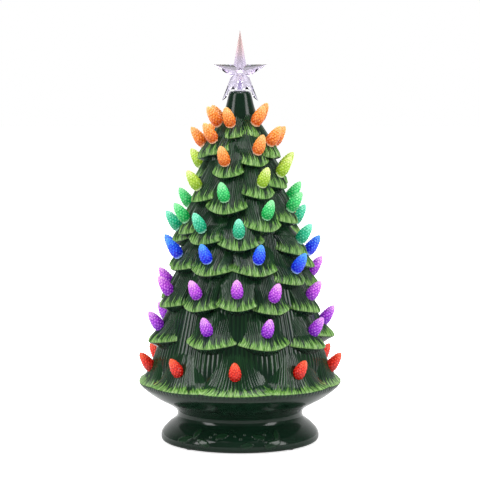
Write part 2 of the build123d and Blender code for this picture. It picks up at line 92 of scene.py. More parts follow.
# One ring of boughs for each colour: node, half width, reach difference, droop, seat of the bulb
# inward and upward of the rim, azimuth and rim height of each bough.
RINGS = [
    ("red_bulbs", 27.0, -6.2, 6.0, 14.5, 10.5,
     [(-148, 57), (-115, 57), (-79, 57), (-42, 59), (-3, 59), (39, 58), (82, 56), (115, 57),
      (148, 57), (180, 57)]),
    ("purple_bulbs", 25.0, 0.0, 10.0, 14.0, 10.5,
     [(-120, 96), (-70, 97), (-22, 98), (18, 97), (57, 94), (98, 97), (140, 95), (-170, 96)]),
    ("violet_bulbs", 19.0, 0.5, 13.0, 11.5, 10.5,
     [(-112, 131), (-65, 130), (-33, 130), (-2, 132), (25, 128), (62, 126), (102, 143), (145, 132),
      (-155, 130)]),
    ("blue_bulbs", 22.0, 0.0, 14.0, 9.0, 11.0,
     [(-110, 162), (-64, 164), (-28, 162), (15, 162), (50, 152), (95, 163), (140, 164),
      (-160, 163)]),
    ("teal_bulbs", 22.0, 1.0, 18.0, 9.0, 11.0,
     [(-95, 186), (-38, 189), (-1, 185), (66, 177), (115, 190), (160, 189), (-148, 188)]),
    ("green_bulbs", 20.0, 1.0, 18.0, 9.0, 11.0,
     [(-115, 206), (-66, 196), (-17, 217), (27, 201), (64, 206), (112, 212), (165, 208),
      (-160, 214)]),
    ("lime_bulbs", 17.0, 0.5, 18.0, 8.5, 11.0,
     [(-118, 243), (-58, 226), (27, 230), (61, 238), (110, 240), (160, 236), (-165, 242)]),
    ("orange_bulbs", 15.0, 0.0, 18.0, 8.5, 11.0,
     [(-95, 264), (-49, 269), (-21, 249), (27, 259), (56, 266), (112, 264), (165, 262),
      (-140, 266)]),
    ("amber_bulbs", 12.5, -6.5, 15.0, 7.5, 10.5,
     [(-62, 284), (-23, 284), (41, 285), (130, 286), (180, 285), (-130, 284)]),
]

# Colour of each ring's bulbs: deep colour low in the bulb, lit middle, pale tip.
BULB_COLOURS = {
    "red_bulbs": ((0.34, 0.002, 0.002), (0.84, 0.024, 0.014), (0.95, 0.13, 0.05)),
    "purple_bulbs": ((0.15, 0.004, 0.42), (0.44, 0.045, 0.74), (0.88, 0.42, 0.90)),
    "violet_bulbs": ((0.20, 0.006, 0.44), (0.56, 0.075, 0.76), (0.94, 0.47, 0.88)),
    "blue_bulbs": ((0.004, 0.006, 0.62), (0.012, 0.085, 0.90), (0.10, 0.42, 1.0)),
    "teal_bulbs": ((0.0, 0.27, 0.12), (0.015, 0.52, 0.27), (0.32, 0.95, 0.68)),
    "green_bulbs": ((0.0, 0.30, 0.05), (0.04, 0.64, 0.16), (0.36, 0.92, 0.44)),
    "lime_bulbs": ((0.20, 0.36, 0.005), (0.46, 0.66, 0.05), (0.80, 0.92, 0.36)),
    "orange_bulbs": ((0.55, 0.08, 0.004), (0.92, 0.30, 0.045), (1.0, 0.56, 0.20)),
    "amber_bulbs": ((0.55, 0.08, 0.004), (0.92, 0.30, 0.045), (1.0, 0.56, 0.20)),
}


# ---- small helpers -------------------------------------------------------------------------------
def smooth_step(low, high, value):
    t = min(max((value - low) / (high - low), 0.0), 1.0)
    return t * t * (3 - 2 * t)


def mix(a, b, t):
    return a + (b - a) * t


def around(azimuth):
    """Turn so that local +X points outwards at this azimuth."""
    return Matrix.Rotation(math.radians(azimuth - 90), 4, "Z")


def wave(angle, seed, turns):
    """Uneven wave round a full circle, about -1 to 1, that closes on itself."""
    radius = turns / (2 * math.pi)
    return 1.8 * noise.noise(Vector((radius * math.cos(angle), radius * math.sin(angle), seed)))


def lengths_along(points):
    """Distance of each point from the first, measured along the line through them."""
    lengths = [0.0]
    for before, here in zip(points, points[1:]):
        lengths.append(lengths[-1] + (Vector(here) - Vector(before)).length)
    return lengths


def curve_points(points, count):
    """Evenly spaced points on a smooth curve through a few points, as (x, z) pairs."""
    knots = [Vector(p) for p in points]
    knots = [2 * knots[0] - knots[1]] + knots + [2 * knots[-1] - knots[-2]]
    dense = []
    for a, b, c, d in zip(knots, knots[1:], knots[2:], knots[3:]):
        for step in range(24):
            t = step / 24
            dense.append(0.5 * (2 * b + (c - a) * t + (2 * a - 5 * b + 4 * c - d) * t ** 2
                                + (3 * b - a - 3 * c + d) * t ** 3))
    dense.append(knots[-2])
    lengths = lengths_along(dense)
    result = []
    index = 0
    for step in range(count):
        goal = lengths[-1] * step / (count - 1)
        while index < len(lengths) - 2 and lengths[index + 1] < goal:
            index += 1
        span = lengths[index + 1] - lengths[index]
        result.append(dense[index].lerp(dense[index + 1], (goal - lengths[index]) / span if span else 0))
    return result


def spin_outline(bm, outline, steps, closed=False):
    """Turn an outline of (radius, height) points in millimetres round Z.

    An open outline has its ends on Z, and a closed one stands clear of it.
    """
    verts = [bm.verts.new((radius * MM, 0, height * MM)) for radius, height in outline]
    following = verts[1:] + verts[:1] if closed else verts[1:]
    edges = [bm.edges.new(pair) for pair in zip(verts, following)]
    bmesh.ops.spin(bm, geom=verts + edges, cent=(0, 0, 0), axis=(0, 0, 1), angle=2 * math.pi,
                   steps=steps, use_merge=True, use_duplicate=False)
    if not closed:
        bmesh.ops.remove_doubles(bm, verts=bm.verts, dist=0.01 * MM)
    bmesh.ops.recalc_face_normals(bm, faces=bm.faces)


def add_copy(target, source, place):
    """Add a transformed copy of one bmesh to another, layers and all."""
    mesh = bpy.data.meshes.new("copy")
    source.to_mesh(mesh)
    mesh.transform(place)
    target.from_mesh(mesh)
    bpy.data.meshes.remove(mesh)


def piece(name, bm, body, slot, replaced=()):
    """Finish a bmesh as a piece that rides on a body."""
    mesh = bpy.data.meshes.new(name)
    for face in bm.faces:
        face.smooth = True
    bm.to_mesh(mesh)
    bm.free()
    obj = bpy.data.objects.new(name, mesh)
    bpy.context.scene.collection.objects.link(obj)
    mesh.materials.append(materials[slot])
    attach(obj, body)
    if replaced:
        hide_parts(*replaced)


# ---- node helpers --------------------------------------------------------------------------------
def mottle_group():
    """Uneven mottling that most finishes share: its plain value, and a soft mask from 0 to 1."""
    group = bpy.data.node_groups.new("mottle", "ShaderNodeTree")
    group.interface.new_socket("Place", in_out="INPUT", socket_type="NodeSocketVector")
    for name, value in (("Scale", 100.0), ("Detail", 2.0), ("Roughness", 0.5)):
        socket = group.interface.new_socket(name, in_out="INPUT", socket_type="NodeSocketFloat")
        socket.default_value = value
    for name in ("Value", "Mask"):
        group.interface.new_socket(name, in_out="OUTPUT", socket_type="NodeSocketFloat")
    given = group.nodes.new("NodeGroupInput")
    result = group.nodes.new("NodeGroupOutput")
    spots = group.nodes.new("ShaderNodeTexNoise")
    mask = group.nodes.new("ShaderNodeMapRange")
    mask.interpolation_type = "SMOOTHSTEP"
    mask.inputs["From Min"].default_value = 0.3
    mask.inputs["From Max"].default_value = 0.7
    group.links.new(given.outputs["Place"], spots.inputs["Vector"])
    for name in ("Scale", "Detail", "Roughness"):
        group.links.new(given.outputs[name], spots.inputs[name])
    group.links.new(spots.outputs["Fac"], mask.inputs["Value"])
    group.links.new(spots.outputs["Fac"], result.inputs["Value"])
    group.links.new(mask.outputs["Result"], result.inputs["Mask"])
    return group


mottle = mottle_group()


class Nodes:
    """Short way to write a material's nodes."""

    def __init__(self, name):
        self.material = bpy.data.materials.new(name)
        self.material.use_nodes = True
        self.tree = self.material.node_tree
        self.shader = self.tree.nodes["Principled BSDF"]

    def add(self, kind, **settings):
        node = self.tree.nodes.new(kind)
        for key, value in settings.items():
            setattr(node, key, value)
        return node

    def link(self, out, socket):
        self.tree.links.new(out, socket)

    def feed(self, socket, value):
        if isinstance(value, bpy.types.NodeSocket):
            self.link(value, socket)
        else:
            socket.default_value = value

    def constant(self, **values):
        """Set plain values on the shader's own sockets."""
        for key, value in values.items():
            self.shader.inputs[key.replace("_", " ")].default_value = value

    def attribute(self, name):
        return self.add("ShaderNodeAttribute", attribute_name=name).outputs["Fac"]

    def math(self, operation, a, b=0.0):
        node = self.add("ShaderNodeMath", operation=operation)
        self.feed(node.inputs[0], a)
        self.feed(node.inputs[1], b)
        return node.outputs[0]

    def ramp(self, value, low, high, to_low=0.0, to_high=1.0):
        node = self.add("ShaderNodeMapRange", interpolation_type="SMOOTHSTEP")
        self.feed(node.inputs["Value"], value)
        node.inputs["From Min"].default_value = low
        node.inputs["From Max"].default_value = high
        node.inputs["To Min"].default_value = to_low
        node.inputs["To Max"].default_value = to_high
        return node.outputs["Result"]

    def mix(self, factor, a, b):
        node = self.add("ShaderNodeMix", data_type="RGBA")
        self.feed(node.inputs["Factor"], factor)
        self.feed(node.inputs["A"], a)
        self.feed(node.inputs["B"], b)
        return node.outputs["Result"]

    def object_place(self):
        return self.add("ShaderNodeTexCoord").outputs["Object"]

    def mottle(self, place, scale, detail=2.0, roughness=0.5):
        """Place the shared mottling with this finish's own values; returns its value and mask."""
        node = self.add("ShaderNodeGroup", node_tree=mottle)
        self.link(place, node.inputs["Place"])
        node.inputs["Scale"].default_value = scale
        node.inputs["Detail"].default_value = detail
        node.inputs["Roughness"].default_value = roughness
        return node.outputs["Value"], node.outputs["Mask"]

    def between(self, mask, low, high):
        """Plain number from low to high as the mask goes from 0 to 1."""
        node = self.add("ShaderNodeMapRange")
        self.link(mask, node.inputs["Value"])
        node.inputs["To Min"].default_value = low
        node.inputs["To Max"].default_value = high
        return node.outputs["Result"]

    def bump(self, height, strength, distance):
        node = self.add("ShaderNodeBump")
        node.inputs["Strength"].default_value = strength
        node.inputs["Distance"].default_value = distance
        self.link(height, node.inputs["Height"])
        self.link(node.outputs["Normal"], self.shader.inputs["Normal"])


def rgb(red, green, blue):
    return (red, green, blue, 1.0)


# ---- materials -----------------------------------------------------------------------------------
materials = {}


def green_glaze():
    """Dark green glaze with thin pale lines on the crests, and light green brushed up from the rims.

    The pale lines are a painted highlight; the near black green in the needle grooves and under the
    rims is painted shade.

    Attributes: from_rim is the distance above a rim in metres, around the place along the rim in
    metres, and crest the height of a needle from 0 in its groove to 1, which fades to 0 under the
    rims so that it also places the painted shade.
    """
    n = Nodes("green_glaze")
    crest_and_shade = n.attribute("crest_and_shade")
    from_rim = n.attribute("from_rim")
    place = n.object_place()
    streak_place = n.add("ShaderNodeCombineXYZ")
    n.link(n.attribute("around"), streak_place.inputs["X"])
    n.link(n.math("MULTIPLY", from_rim, 0.12), streak_place.inputs["Y"])
    upwards = streak_place.outputs["Vector"]
    streaks, _ = n.mottle(upwards, 900.0, 3.0, 0.6)
    lines, _ = n.mottle(upwards, 2000.0)
    _, tufts = n.mottle(upwards, 260.0)
    blotches, blotch_mask = n.mottle(place, 45.0, 3.0)
    # Painted shade: near black green in the needle grooves and under the rims, mid green on the crests.
    base = n.mix(n.ramp(crest_and_shade, 0.2, 0.95), rgb(0.0045, 0.018, 0.009), rgb(0.015, 0.064, 0.019))
    base = n.mix(n.ramp(blotches, 0.35, 0.75, 0.0, 0.5), base, rgb(0.005, 0.024, 0.012))
    # Painted highlight: thin pale lines on the needle crests, above the rims only.
    pale = n.math("MULTIPLY", n.ramp(lines, 0.58, 0.74), n.ramp(crest_and_shade, 0.7, 1.0, 0.0, 0.6))
    pale = n.math("MULTIPLY", pale, n.ramp(from_rim, 0.0, 0.001))
    base = n.mix(pale, base, rgb(0.15, 0.23, 0.14))
    stroke = n.math("ADD", n.ramp(streaks, 0.3, 0.75, -0.0030, 0.0055), n.between(tufts, -0.003, 0.004))
    height = n.math("SUBTRACT", from_rim, stroke)
    brushed = n.ramp(height, 0.0066, 0.0016)
    brushed = n.math("MULTIPLY", brushed, n.ramp(from_rim, -0.0004, 0.0006))
    # Less brushed green in the grooves and under the rims: more painted shade.
    brushed = n.math("MULTIPLY", brushed, n.ramp(crest_and_shade, 0.0, 0.5, 0.45, 1.0))
    leaf = n.mix(n.ramp(streaks, 0.35, 0.7), rgb(0.085, 0.24, 0.035), rgb(0.20, 0.42, 0.085))
    leaf = n.mix(n.ramp(height, 0.0014, -0.0018, 0.0, 0.55), leaf, rgb(0.42, 0.64, 0.24))
    n.link(n.mix(brushed, base, leaf), n.shader.inputs["Base Color"])
    n.link(n.between(blotch_mask, 0.08, 0.15), n.shader.inputs["Roughness"])
    n.constant(IOR=1.38)
    relief = n.math("ADD", n.math("MULTIPLY", streaks, 0.6), n.math("MULTIPLY", blotches, 0.5))
    n.bump(relief, 0.16, 0.0004)
    return n.material


def bulb_lens(name, colours):
    """Clear coloured plastic, lit from behind: deep low down, pale towards the tip. The grooves between
    the bumps carry painted shade, the tops of the bumps painted highlights, and the foot a painted
    glint.

    Attributes: along runs from 0 at the bulb's foot to 1 at its tip, facet from 0 in a groove to 1.
    """
    n = Nodes(name)
    deep, lit, pale = (rgb(*colour) for colour in colours)
    along = n.attribute("along")
    facet = n.attribute("facet")
    flecks, _ = n.mottle(n.object_place(), 650.0)
    uneven = n.math("ADD", along, n.ramp(flecks, 0.25, 0.75, -0.17, 0.17))
    colour = n.mix(n.ramp(uneven, 0.26, 0.60), deep, lit)
    colour = n.mix(n.ramp(uneven, 0.56, 1.02), colour, pale)
    # Painted shade: the deep colour in the grooves between the bumps.
    colour = n.mix(n.ramp(facet, 0.50, 0.08, 0.0, 0.65), colour, deep)
    # Painted highlight: the pale colour on the tops of the bumps.
    colour = n.mix(n.ramp(facet, 0.62, 1.0, 0.0, 0.35), colour, pale)
    # Painted glint: a whitish ring round the foot of each bulb.
    foot = n.math("MULTIPLY", n.ramp(along, 0.17, 0.04), 0.85)
    colour = n.mix(foot, colour, rgb(*(mix(c, 1.0, 0.35) for c in colours[2])))
    n.link(colour, n.shader.inputs["Base Color"])
    n.link(colour, n.shader.inputs["Emission Color"])
    n.constant(Emission_Strength=0.22, Roughness=0.10, IOR=1.45)
    n.bump(flecks, 0.15, 0.0003)
    return n.material


def clear_plastic():
    """Clear plastic of the star, faintly pink above and lilac below; greyer where it turns away, a
    painted refraction of dark surroundings.
    """
    n = Nodes("clear_plastic")
    place = n.object_place()
    split = n.add("ShaderNodeSeparateXYZ")
    n.link(place, split.inputs[0])
    height = split.outputs["Z"]
    tint = n.mix(n.ramp(height, 0.326, 0.350), rgb(0.78, 0.74, 0.88), rgb(0.70, 0.62, 0.80))
    tint = n.mix(n.ramp(height, 0.350, 0.372), tint, rgb(0.92, 0.64, 0.62))
    # Painted refraction: greyer where the plastic turns away, for the dark surroundings seen through it.
    facing = n.add("ShaderNodeLayerWeight")
    facing.inputs["Blend"].default_value = 0.45
    painted_edge_refraction = n.ramp(facing.outputs["Facing"], 0.15, 0.85, 0.0, 0.55)
    tint = n.mix(painted_edge_refraction, tint, rgb(0.50, 0.45, 0.54))
    n.link(tint, n.shader.inputs["Base Color"])
    n.constant(Transmission_Weight=1.0, Roughness=0.04, IOR=1.49)
    haze, _ = n.mottle(place, 260.0)
    n.bump(haze, 0.08, 0.0002)
    return n.material


def moulded_plastic(name, colour, roughness):
    """Moulded plastic with fine spark-eroded grain and slightly uneven gloss."""
    n = Nodes(name)
    place = n.object_place()
    grain, _ = n.mottle(place, 2600.0, 3.0)
    _, cloud = n.mottle(place, 60.0)
    darker = rgb(*(c * 0.8 for c in colour))
    n.link(n.mix(cloud, darker, rgb(*colour)), n.shader.inputs["Base Color"])
    n.link(n.between(cloud, roughness - 0.06, roughness + 0.06), n.shader.inputs["Roughness"])
    n.bump(grain, 0.2, 0.0001)
    return n.material


def plated_metal(name, colour, roughness):
    """Plated or zinced steel with faint drawing marks."""
    n = Nodes(name)
    place = n.object_place()
    marks, mark_mask = n.mottle(place, 900.0, 4.0)
    darker = rgb(*(c * 0.75 for c in colour))
    n.link(n.mix(marks, darker, rgb(*colour)), n.shader.inputs["Base Color"])
    n.link(n.between(mark_mask, roughness - 0.08, roughness + 0.08), n.shader.inputs["Roughness"])
    n.constant(Metallic=1.0)
    n.bump(marks, 0.1, 0.00005)
    return n.material


def circuit_board():
    """Green solder mask over faint copper tracks."""
    n = Nodes("circuit_board")
    place = n.object_place()
    tracks = n.add("ShaderNodeTexVoronoi", feature="DISTANCE_TO_EDGE")
    n.link(place, tracks.inputs["Vector"])
    tracks.inputs["Scale"].default_value = 450.0
    line = n.ramp(tracks.outputs["Distance"], 0.05, 0.12)
    n.link(n.mix(line, rgb(0.05, 0.30, 0.10), rgb(0.015, 0.14, 0.04)), n.shader.inputs["Base Color"])
    n.link(n.ramp(line, 0.0, 1.0, 0.3, 0.45), n.shader.inputs["Roughness"])
    return n.material


def cell_jacket():
    """Printed sleeve of a cell: plain bands of grey and copper colour, with no words."""
    n = Nodes("cell_jacket")
    place = n.object_place()
    split = n.add("ShaderNodeSeparateXYZ")
    n.link(place, split.inputs[0])
    band = n.ramp(n.math("ABSOLUTE", split.outputs["X"]), 0.0145, 0.0150)
    scuffs, scuff_mask = n.mottle(place, 500.0, 3.0)
    sleeve = n.mix(n.ramp(scuffs, 0.3, 0.8, 0.0, 0.4), rgb(0.05, 0.05, 0.055), rgb(0.12, 0.12, 0.13))
    n.link(n.mix(band, sleeve, rgb(0.55, 0.30, 0.16)), n.shader.inputs["Base Color"])
    n.link(n.between(scuff_mask, 0.25, 0.4), n.shader.inputs["Roughness"])
    n.constant(Metallic=0.5)
    return n.material


def pad_rubber(name, colour, roughness):
    """Rubber or silicone with a dusty, mottled surface."""
    n = Nodes(name)
    place = n.object_place()
    dust, dust_mask = n.mottle(place, 900.0, 4.0)
    paler = rgb(*(mix(c, 0.5, 0.15) for c in colour))
    n.link(n.mix(n.ramp(dust, 0.4, 0.7), rgb(*colour), paler), n.shader.inputs["Base Color"])
    n.link(n.between(dust_mask, roughness - 0.05, roughness + 0.05), n.shader.inputs["Roughness"])
    n.bump(dust, 0.3, 0.0001)
    return n.material


def led_lens():
    """Milky cap of a light-emitting diode."""
    n = Nodes("led_lens")
    cloud, _ = n.mottle(n.object_place(), 800.0)
    colour = n.mix(cloud, rgb(0.85, 0.84, 0.74), rgb(0.95, 0.94, 0.88))
    n.link(colour, n.shader.inputs["Base Color"])
    n.link(colour, n.shader.inputs["Emission Color"])
    n.constant(Emission_Strength=0.3, Roughness=0.25)
    return n.material


materials["green_glaze"] = green_glaze()
materials["clear_plastic"] = clear_plastic()
materials["black_plastic"] = moulded_plastic("black_plastic", (0.030, 0.031, 0.033), 0.42)
materials["black_plastic_dark"] = moulded_plastic("black_plastic_dark", (0.018, 0.018, 0.020), 0.5)
materials["switch_case"] = moulded_plastic("switch_case", (0.025, 0.025, 0.027), 0.38)
materials["switch_knob_plastic"] = moulded_plastic("switch_knob_plastic", (0.62, 0.62, 0.60), 0.4)
materials["white_plastic"] = moulded_plastic("white_plastic", (0.78, 0.78, 0.76), 0.38)
materials["silicone"] = pad_rubber("silicone", (0.55, 0.56, 0.55), 0.5)
materials["pad_rubber"] = pad_rubber("pad_rubber", (0.05, 0.05, 0.05), 0.75)
materials["lead_insulation"] = pad_rubber("lead_insulation", (0.55, 0.03, 0.02), 0.4)
materials["nickel_plate"] = plated_metal("nickel_plate", (0.72, 0.70, 0.66), 0.25)
materials["screw_steel"] = plated_metal("screw_steel", (0.56, 0.57, 0.58), 0.32)
materials["circuit_board"] = circuit_board()
materials["cell_jacket"] = cell_jacket()
materials["led_lens"] = led_lens()
for each_node, each_colours in BULB_COLOURS.items():
    each_slot = each_node.replace("bulbs", "lens")
    materials[each_slot] = bulb_lens(each_slot, each_colours)

slot_of_node = {part["node"]: part["material_slot"] for part in frame["record"]["subparts"]}
for each_name, each_object in frame["nodes"].items():
    each_object.data.materials.clear()
    each_object.data.materials.append(materials[slot_of_node[each_name]])


# ---- ceramic -------------------------------------------------------------------------------------
def trunk_radius(height):
    """Radius of the plain trunk in millimetres."""
    if height < trunk_top_height:
        share = (height - trunk_foot_height) / (trunk_top_height - trunk_foot_height)
        return mix(trunk_foot_radius, trunk_top_radius, share)
    share = (height - trunk_top_height) / (crown_shoulder_height - trunk_top_height)
    return mix(trunk_top_radius, crown_shoulder_radius, share)


def layers(bm):
    return {key: bm.verts.layers.float.new(key) for key in ("from_rim", "around", "crest_and_shade")}


def bent(angle, seed, share):
    """Angle along a needle, which bends a little on its way from the rim, 0, to the top, 1."""
    return angle + needle_bend * share * math.sin(angle * 1.5 + seed)


def groove(angle, seed, needles, share):
    """Height of the needles at an angle round a bough, 0 in a groove and 1 on a crest."""
    fine = bent(angle, seed, share)
    broad = 0.5 + 0.5 * wave(fine, seed, needles * 0.55)
    sharp = 0.5 + 0.5 * math.cos(fine * needles + 2.2 * wave(fine, seed + 7.0, 9.0))
    return min(max(0.55 * sharp + 0.45 * broad, 0.0), 1.0)


def bough(bm, ring, azimuth, rim_height, seed):
    """One drooping bough, a leaning bell whose face carries long needles."""
    _, half_width, difference, droop, _, _, _ = ring
    tilt = math.radians(droop)
    span = upper_gap(ring)
    top = min(span + bough_overlap, longest_bough)
    face = curve_points([(half_width - 1.3, -1.5), (half_width, 0.0), (half_width - 1.0, 1.6),
                         (half_width * 0.80, 6.0), (half_width * 0.62, 12.5),
                         (half_width * 0.46, 0.55 * top), (half_width * 0.22, 0.85 * top),
                         (0.0, top)], 30)
    under = [(0.0, -0.72 * half_width), (half_width * 0.35, -0.52 * half_width),
             (half_width * 0.7, -0.26 * half_width), (half_width - 4.0, -3.2)]
    outline = under + [tuple(point) for point in face]
    lengths = lengths_along(outline)
    distances = [length - lengths[len(under) + 1] for length in lengths]
    reach = reach_at_floor - reach_taper * rim_height + difference
    lean = (trunk_radius(rim_height) - trunk_radius(rim_height + top)) / top
    bell = bmesh.new()
    named = layers(bell)
    spin_outline(bell, outline, bough_steps)
    distance_at = {round(height, 3): distance for (_, height), distance in zip(outline, distances)}
    centre = reach - half_width * math.cos(tilt)
    hinge_height = rim_height + half_width * math.sin(tilt)
    place = around(azimuth) @ Matrix.Translation((centre * MM, 0, hinge_height * MM))
    needles = round(half_width * needles_per_millimetre)
    length = distances[-1]
    for vert in bell.verts:
        x, y, z = (value / MM for value in vert.co)
        radius = math.hypot(x, y)
        angle = math.atan2(y, x)
        distance = distance_at[min(distance_at, key=lambda key: abs(key - z))]
        share = min(max(distance / length, 0.0), 1.0)
        near_rim = smooth_step(-9.0, 1.0, distance)
        rise = groove(angle, seed, needles, share)
        depth = needle_depth * near_rim * (1.0 - 0.4 * share)
        wobble = rim_waviness * wave(angle, seed + 3.0, 5.0) * near_rim * (1.0 - share)
        corner = rim_squareness * half_width * math.cos(4 * angle) * (1.0 - share) * near_rim
        out = radius + (rise - 0.75) * depth * min(radius / 6.0, 1.0) + wobble - 0.3 + corner
        if radius < 0.01:
            out = 0.0
        spread = smooth_step(3.0, 0.75 * top, z)
        x = out * math.cos(angle)
        y = out * math.sin(angle) * (1.0 + bough_fan * spread)
        x -= spread * y * y / (2.0 * trunk_radius(rim_height + max(z, 0.0)))
        lift = 0.5 * (rise - 0.5) * near_rim * (1.0 - share)
        z = z + lift - math.sin(tilt) * x * (1.0 - smooth_step(0.0, top, z))
        x = x * mix(math.cos(tilt), 1.0, share) - lean * max(z, 0.0) - max(0.0, -z) * 0.2
        vert.co = Vector((x, y, z)) * MM
        vert[named["from_rim"]] = distance * MM
        vert[named["around"]] = bent(angle, seed, share) * half_width * MM
        # The value fades to 0 under the rim, where the glaze then paints shade.
        vert[named["crest_and_shade"]] = rise * near_rim
    add_copy(bm, bell, place)
    bell.free()


def upper_gap(ring):
    """Height from this ring's rims to the rims of the ring above."""
    index = RINGS.index(ring)
    if index == len(RINGS) - 1:
        return gap_over_top_ring
    lower, upper = (sum(height for _, height in each[-1]) / len(each[-1])
                    for each in (ring, RINGS[index + 1]))
    return upper - lower


def bough_pieces():
    """One piece for each ring of boughs above the skirt."""
    for number, ring in enumerate(RINGS[1:]):
        bm = bmesh.new()
        layers(bm)
        for index, (azimuth, rim_height) in enumerate(ring[-1]):
            bough(bm, ring, azimuth, rim_height, 11.0 * number + 3.7 * index)
        piece(ring[0].replace("bulbs", "boughs"), bm, "tree", "green_glaze")


def skirt():
    """Lowest ring, one scalloped skirt whose lobes stand under the red bulbs."""
    ring = RINGS[0]
    rim = skirt_rim_radius
    outline = curve_points([(66.9, 36.4), (80.0, 43.6), (90.5, 51.5), (rim - 0.9, 55.4),
                            (rim, skirt_rim_height), (rim - 1.4, 58.7), (88.5, 62.0),
                            (83.5, 68.0), (79.0, 78.0), (75.0, 92.0), (69.0, 108.0)], 54)
    outline = [(60.0, 40.0)] + [tuple(point) for point in outline] + [(55.0, 108.0)]
    distances = lengths_along(outline)
    rim_index = max(range(len(outline)), key=lambda i: outline[i][0])
    bm = bmesh.new()
    named = layers(bm)
    spin_outline(bm, outline, skirt_steps, closed=True)
    table = [(radius, height, distance - distances[rim_index])
             for (radius, height), distance in zip(outline, distances)]
    centres = sorted(azimuth for azimuth, _ in ring[-1])
    for vert in bm.verts:
        x, y, z = (value / MM for value in vert.co)
        radius = math.hypot(x, y)
        angle = math.atan2(y, x)
        azimuth = (math.degrees(angle) + 90 + 180) % 360 - 180
        _, _, distance = min(table, key=lambda row: abs(row[0] - radius) + abs(row[1] - z))
        lobe = lobe_height(azimuth, centres)
        near_rim = smooth_step(-6.0, 1.0, distance)
        share = min(max(distance / skirt_face_length, 0.0), 1.0)
        centre = min(centres, key=lambda c: abs((azimuth - c + 180) % 360 - 180))
        aside = (azimuth - centre + 180) % 360 - 180
        fan = math.radians(centre + aside * (1.0 + skirt_fan * share))
        rise = groove(fan, 5.0, skirt_needles, 0.0)
        middle = smooth_step(1.0, 16.0, distance) * (1.0 - smooth_step(26.0, 50.0, distance))
        bulge = 5.5 * (lobe - 0.5) * middle
        scallop = (1.1 * (lobe - 1.0) + 0.35 * wave(angle, 2.0, 26.0)) * near_rim * (1.0 - share)
        out = radius + bulge + scallop
        out += skirt_needle_depth * (rise - 0.7) * near_rim * (1.0 - 0.4 * share)
        drop = 1.3 * (0.5 - lobe) * near_rim * (1.0 - smooth_step(0.0, 14.0, distance))
        vert.co = Vector((out * math.cos(angle), out * math.sin(angle), z + drop)) * MM
        vert[named["from_rim"]] = distance * MM
        vert[named["around"]] = fan * rim * MM
        # The value fades to 0 under the rim, where the glaze then paints shade.
        vert[named["crest_and_shade"]] = rise * near_rim
    piece("skirt", bm, "tree", "green_glaze")


def lobe_height(azimuth, centres):
    """1 at the middle of a lobe and 0 in the valley between two."""
    after = next((c for c in centres if c >= azimuth), centres[0] + 360)
    before = max((c for c in centres if c <= azimuth), default=centres[-1] - 360)
    if after == before:
        return 1.0
    share = (azimuth - before) / (after - before)
    return abs(math.cos(math.pi * share)) ** 0.6


def trunk_and_foot():
    """Turned foot and waist, the trunk behind the boughs and the plain crown."""
    outer = curve_points([(69.6, 1.0), (72.6, 2.2), (73.6, 4.9), (72.6, 10.2), (66.9, 16.6),
                          (60.2, 22.0), (58.2, 26.5), (60.2, 31.4), (66.9, 36.4), (76.0, 41.6),
                          (85.0, 47.4)], 40)
    trunk = [(84.0, 55.0), (80.0, 70.0)]
    for height in range(80, 290, 6):
        trunk.append((trunk_radius(height) - trunk_inset, height))
    crown = curve_points([(22.0, 287.0), (17.6, 298.0), (13.4, 311.0), (11.4, 319.0), (10.2, 323.4),
                          (9.4, 325.3), (7.6, crown_height)], 22)
    inner = [(socket_radius, crown_height), (socket_radius, 306.5),
             (hollow_roof_radius, hollow_roof_height), (hollow_top_radius, trunk_top_height),
             (hollow_skirt_radius, trunk_foot_height), (hollow_skirt_radius, hollow_skirt_height),
             (hollow_waist_radius, 34.4), (hollow_waist_radius, 26.5), (55.0, rebate_depth),
             (rebate_radius, rebate_depth), (rebate_radius, 1.0)]
    outline = [tuple(point) for point in outer] + trunk + [tuple(point) for point in crown] + inner
    bm = bmesh.new()
    named = layers(bm)
    spin_outline(bm, outline, trunk_steps, closed=True)
    for vert in bm.verts:
        x, y, z = vert.co
        vert[named["from_rim"]] = 0.03 + z      # far from any rim, so no brushed edge
        vert[named["around"]] = math.atan2(y, x) * glaze_radius
        radius = math.hypot(x, y)
        if 0.075 < z < 0.29 and radius > trunk_radius(z / MM) * MM - 0.002:
            rise = groove(math.atan2(y, x), 9.0, trunk_needles, 0.5)
            # Kept below the boughs' crests, so the trunk behind them is darker: painted shade.
            vert[named["crest_and_shade"]] = 0.8 * rise
            vert.co.xy *= (radius + trunk_needle_depth * MM * (rise - 0.6)) / radius
    piece("trunk_and_foot", bm, "tree", "green_glaze", replaced=("ceramic_tree",))


# Holly sprigs on the foot: leaves as (azimuth, height along the foot, turn, length, half width) and
# berries as (azimuth, height along the foot, radius); degrees and millimetres.
HOLLY_LEAVES = [(-44, 8.0, 20, 17, 4.6), (-35, 15.5, 75, 13, 3.8), (-27, 6.5, -25, 14, 4.2),
                (-14, 15.0, 15, 13, 3.8), (14, 14.0, -15, 13, 3.8), (5, 5.5, 10, 12, 3.6),
                (24, 6.0, 15, 17, 4.6), (29, 15.0, 70, 12, 3.6)]
HOLLY_BERRIES = [(-23, 13.5, 1.9), (-20, 17.0, 1.7), (-17.5, 11.5, 1.6), (-4, 15.5, 1.8),
                 (0.5, 12.5, 1.9), (3.5, 17.0, 1.6), (19.5, 16.5, 1.8), (17, 11.0, 1.6), (-32, 9.0, 1.6)]


